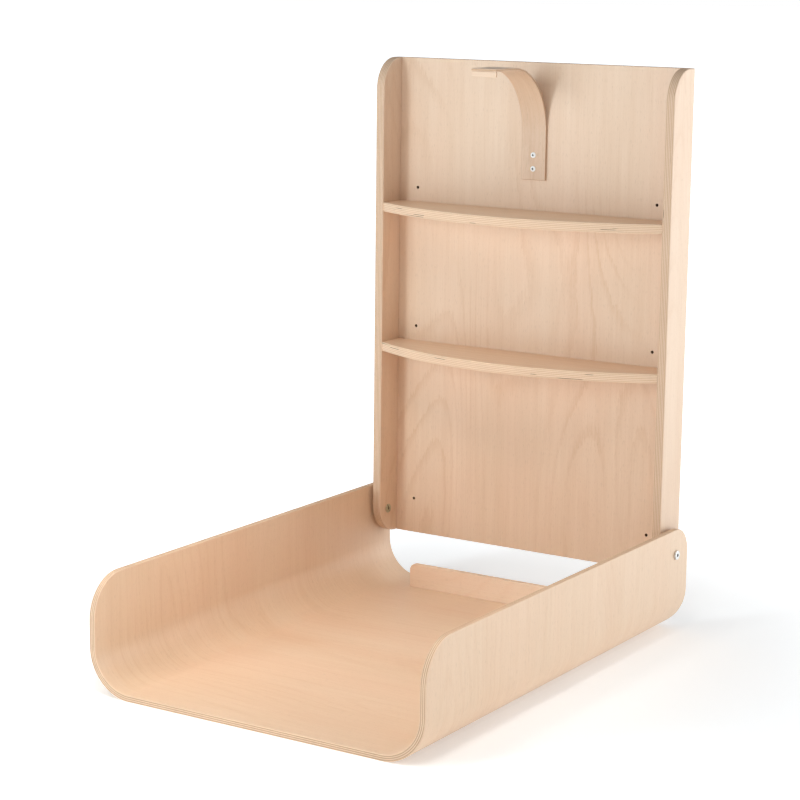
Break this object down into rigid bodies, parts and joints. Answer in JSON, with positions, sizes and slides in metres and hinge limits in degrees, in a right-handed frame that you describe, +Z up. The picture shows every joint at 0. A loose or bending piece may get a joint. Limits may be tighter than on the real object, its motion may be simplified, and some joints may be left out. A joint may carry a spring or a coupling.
{
  "type": "wall-mounted fold-down changing table",
  "caption": "Wall cabinet with bowed shelves and a moulded plywood tray that folds down on two pivots, held shut by a bent-plywood spring latch.",
  "frame": {"origin": "under the middle of the open tray, on the plane of the tray's underside", "axes": "+Z up, +Y towards the wall, +X to the right of a person who stands in front of the table and faces the wall"},
  "size_m": [0.5794, 0.788, 0.893],
  "materials": {
    "panel_ply": "clear matte lacquer on beech plywood, standing grain",
    "side_ply": "clear matte lacquer on beech plywood, visible ply edges",
    "shelf_ply": "clear matte lacquer on beech plywood, grain along the shelf",
    "strap_ply": "clear matte lacquer on thin bent plywood",
    "tray_ply": "clear matte lacquer on moulded beech plywood",
    "stop_ply": "clear matte lacquer on beech plywood",
    "dowel_beech": "raw beech",
    "bolt_steel": "satin nickel plate",
    "nut_bronze": "satin plate",
    "white_screw": "white paint",
    "washer_nylon": "moulded nylon"
  },
  "bodies": {
    "cabinet": {"back_panel": "panel_ply", "left_side_panel": "side_ply", "right_side_panel": "side_ply", "upper_shelf": "shelf_ply", "lower_shelf": "shelf_ply", "left_panel_dowels": "dowel_beech", "right_panel_dowels": "dowel_beech", "upper_shelf_dowels": "dowel_beech", "lower_shelf_dowels": "dowel_beech", "latch_strap": "strap_ply", "latch_screw_upper": "white_screw", "latch_screw_lower": "white_screw", "left_pivot_bolt": "bolt_steel", "right_pivot_bolt": "bolt_steel", "left_pivot_nut": "nut_bronze", "right_pivot_nut": "nut_bronze", "left_pivot_washer": "washer_nylon", "right_pivot_washer": "washer_nylon"},
    "tray": {"tray_shell": "tray_ply", "mattress_stop": "stop_ply", "mattress_stop_screws": "bolt_steel"},
    "latch": {"latch_arm": "strap_ply", "latch_catch": "strap_ply"}
  },
  "joints": [
    {"name": "tray_fold", "type": "hinge", "parent": "cabinet", "child": "tray", "pos_m": [0, 0.352, 0.133], "axis": [-1, 0, 0], "range_deg": [0, 90]},
    {"name": "latch_flex", "type": "hinge", "parent": "cabinet", "child": "latch", "pos_m": [0, 0.3711, 0.8216], "axis": [-1, 0, 0], "range_deg": [0, 6], "stiffness_Nm_per_rad": 12}
  ]
}
